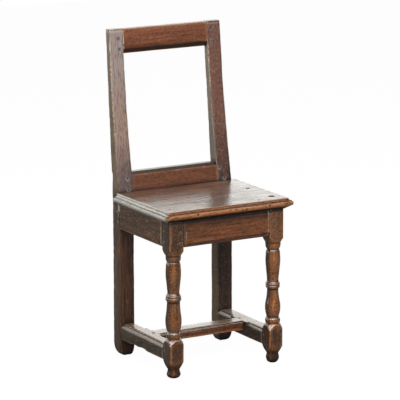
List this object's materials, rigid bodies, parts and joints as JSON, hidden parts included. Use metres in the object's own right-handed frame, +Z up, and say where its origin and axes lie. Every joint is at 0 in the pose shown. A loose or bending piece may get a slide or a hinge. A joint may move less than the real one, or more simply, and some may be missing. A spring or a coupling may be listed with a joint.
{
  "type": "wainscot chair",
  "caption": "Joined oak back-stool: raked open back, plank seat with moulded edge, turned front legs, H stretcher, pegged mortise-and-tenon frame.",
  "frame": {"origin": "floor level, at the centre of the chair's bounding box seen from above", "axes": "+Z up, front of the chair towards -Y, chair's width along X"},
  "size_m": [0.391, 0.374, 0.888],
  "materials": {
    "post_oak": "waxed, dark",
    "leg_oak": "waxed, worn",
    "back_rail_oak": "waxed",
    "seat_oak": "waxed, polished by use",
    "apron_oak": "waxed, dark",
    "stretcher_oak": "waxed, worn by feet",
    "peg_oak": "waxed end grain"
  },
  "bodies": {
    "root": {"rear_post_left": "post_oak", "rear_post_right": "post_oak", "front_leg_left": "leg_oak", "front_leg_right": "leg_oak", "crest_rail": "back_rail_oak", "lower_back_rail": "back_rail_oak", "seat_board": "seat_oak", "front_apron": "apron_oak", "rear_apron": "apron_oak", "side_apron_left": "apron_oak", "side_apron_right": "apron_oak", "side_stretcher_left": "stretcher_oak", "side_stretcher_right": "stretcher_oak", "medial_stretcher": "stretcher_oak", "crest_rail_pegs": "peg_oak", "lower_back_rail_pegs": "peg_oak", "front_apron_pegs": "peg_oak", "rear_apron_pegs": "peg_oak", "side_apron_left_pegs": "peg_oak", "side_apron_right_pegs": "peg_oak", "side_stretcher_left_pegs": "peg_oak", "side_stretcher_right_pegs": "peg_oak", "medial_stretcher_pegs": "peg_oak", "seat_pegs": "peg_oak"}
  },
  "joints": []
}
